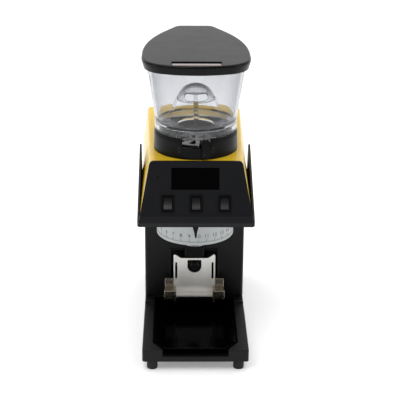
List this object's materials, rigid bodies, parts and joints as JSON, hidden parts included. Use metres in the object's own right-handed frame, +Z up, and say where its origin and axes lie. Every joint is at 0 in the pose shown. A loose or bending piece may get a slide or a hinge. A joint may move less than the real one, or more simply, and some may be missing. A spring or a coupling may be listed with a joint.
{
  "type": "burr coffee grinder",
  "caption": "Upright burr coffee grinder with a clear hopper, tilted control panel, grind dial, portafilter fork and drip tray on a low base.",
  "frame": {"origin": "on the floor, in the middle of the footprint", "axes": "+Z up, -Y towards the user at the front, +X to the right seen from the front"},
  "size_m": [0.1332, 0.277, 0.3454],
  "materials": {
    "black_paint": "satin powder coat",
    "yellow_paint": "gloss enamel",
    "panel_black": "satin moulded",
    "rubber": "matt",
    "screw_steel": "zinc plated",
    "tray_gloss": "gloss moulded",
    "black_plastic": "satin moulded",
    "rocker_plastic": "semi-gloss moulded",
    "display_glass": "polished",
    "circuit_board": "solder mask",
    "cast_aluminium": "machined casting",
    "dial_aluminium": "brushed, clear anodised",
    "gear_steel": "cut",
    "burr_steel": "ground",
    "bearing_steel": "ground",
    "motor_steel": "zinc",
    "stainless": "polished",
    "prong_steel": "satin",
    "clear_plastic": "clear polished",
    "lid_plastic": "satin moulded",
    "badge_metal": "bright"
  },
  "bodies": {
    "housing": {"base_frame": "black_paint", "rubber_feet": "rubber", "foot_screws": "screw_steel", "column_shell": "black_paint", "rear_cover": "black_paint", "deck_plate": "black_paint", "hood_shell": "yellow_paint", "side_cheek_left": "black_paint", "side_cheek_right": "black_paint", "case_screws": "screw_steel", "control_panel": "panel_black", "display_window": "display_glass", "display_module": "circuit_board", "control_board": "circuit_board", "dial_pointer": "black_plastic", "gearbox_case": "cast_aluminium", "gearbox_cover": "cast_aluminium", "gearbox_screws": "screw_steel", "idler_pin": "screw_steel", "motor_case": "motor_steel", "rotor_bearing_lower": "bearing_steel", "rotor_bearing_upper": "bearing_steel", "burr_housing": "cast_aluminium", "throat_cap": "cast_aluminium", "hopper_collar": "black_plastic", "bracket_guide": "black_plastic", "micro_switch": "black_plastic", "power_supply": "circuit_board", "power_inlet": "black_plastic", "switch_housing_left": "black_plastic", "switch_housing_middle": "black_plastic", "switch_housing_right": "black_plastic"},
    "tray": {"drip_tray": "tray_gloss"},
    "fork": {"fork_plate": "stainless", "fork_prong_left": "prong_steel", "fork_prong_right": "prong_steel"},
    "button": {"start_button": "black_plastic"},
    "dial": {"grind_dial": "dial_aluminium", "dial_circlip": "screw_steel"},
    "cone": {"adjusting_sleeve": "cast_aluminium", "cone_burr": "burr_steel", "burr_nut": "screw_steel", "outlet_spout": "cast_aluminium"},
    "rotor": {"drive_gear": "gear_steel", "gear_screws": "screw_steel", "ring_burr_holder": "burr_steel", "ring_burr": "burr_steel"},
    "idler": {"idler_gear": "gear_steel"},
    "motor_rotor": {"motor_pinion": "gear_steel", "motor_shaft": "screw_steel"},
    "rocker_left": {"switch_rocker_left": "rocker_plastic"},
    "rocker_middle": {"switch_rocker_middle": "rocker_plastic"},
    "rocker_right": {"switch_rocker_right": "rocker_plastic"},
    "hopper": {"hopper_bowl": "clear_plastic", "hopper_guard": "clear_plastic", "gate_seat": "black_plastic"},
    "gate": {"gate_disc": "stainless", "gate_lever": "black_plastic"},
    "lid": {"hopper_lid": "lid_plastic", "lid_badge": "badge_metal"}
  },
  "joints": [
    {"name": "tray_tilt", "type": "hinge", "parent": "housing", "child": "tray", "pos_m": [0, -0.0007, 0.0131], "axis": [-1, 0, 0], "range_deg": [0, 12]},
    {"name": "fork_height", "type": "slide", "parent": "housing", "child": "fork", "axis": [0, 0, 1], "range_m": [0, 0.006]},
    {"name": "start_press", "type": "slide", "parent": "housing", "child": "button", "axis": [0, 1, 0], "range_m": [0, 0.0035], "stiffness_N_per_m": 400, "springref_m": -0.003},
    {"name": "dial_turn", "type": "hinge", "parent": "housing", "child": "dial", "pos_m": [0, -0.0307, 0.145], "axis": [0, 0, 1], "range_deg": [-150, 150]},
    {"name": "cone_lift", "type": "slide", "parent": "housing", "child": "cone", "axis": [0, 0, 1], "range_m": [-0.00065, 0.00065]},
    {"name": "burr_spin", "type": "hinge", "parent": "housing", "child": "rotor", "pos_m": [0, -0.0307, 0.2], "axis": [0, 0, 1], "continuous": true},
    {"name": "idler_spin", "type": "hinge", "parent": "housing", "child": "idler", "pos_m": [0, 0.0398, 0.183], "axis": [0, 0, 1], "continuous": true},
    {"name": "motor_spin", "type": "hinge", "parent": "housing", "child": "motor_rotor", "pos_m": [0, 0.0773, 0.183], "axis": [0, 0, 1], "continuous": true},
    {"name": "rocker_left_tilt", "type": "hinge", "parent": "housing", "child": "rocker_left", "pos_m": [-0.032, -0.10385, 0.19295], "axis": [1, 0, 0], "range_deg": [0, 14]},
    {"name": "rocker_middle_tilt", "type": "hinge", "parent": "housing", "child": "rocker_middle", "pos_m": [0, -0.10385, 0.19295], "axis": [1, 0, 0], "range_deg": [0, 14]},
    {"name": "rocker_right_tilt", "type": "hinge", "parent": "housing", "child": "rocker_right", "pos_m": [0.032, -0.10385, 0.19295], "axis": [1, 0, 0], "range_deg": [0, 14]},
    {"name": "hopper_lift", "type": "slide", "parent": "housing", "child": "hopper", "axis": [0, 0, 1], "range_m": [0, 0.06]},
    {"name": "gate_turn", "type": "hinge", "parent": "hopper", "child": "gate", "pos_m": [0, -0.0307, 0.245], "axis": [0, 0, 1], "range_deg": [-24, 0]},
    {"name": "lid_lift", "type": "slide", "parent": "hopper", "child": "lid", "axis": [0, 0, 1], "range_m": [0, 0.05]}
  ],
  "couplings": [
    {"joint": "cone_lift", "follows": "dial_turn", "m_per_rad": 0.00023873},
    {"joint": "idler_spin", "follows": "burr_spin", "ratio": -1.7647},
    {"joint": "motor_spin", "follows": "burr_spin", "ratio": 3.75}
  ]
}
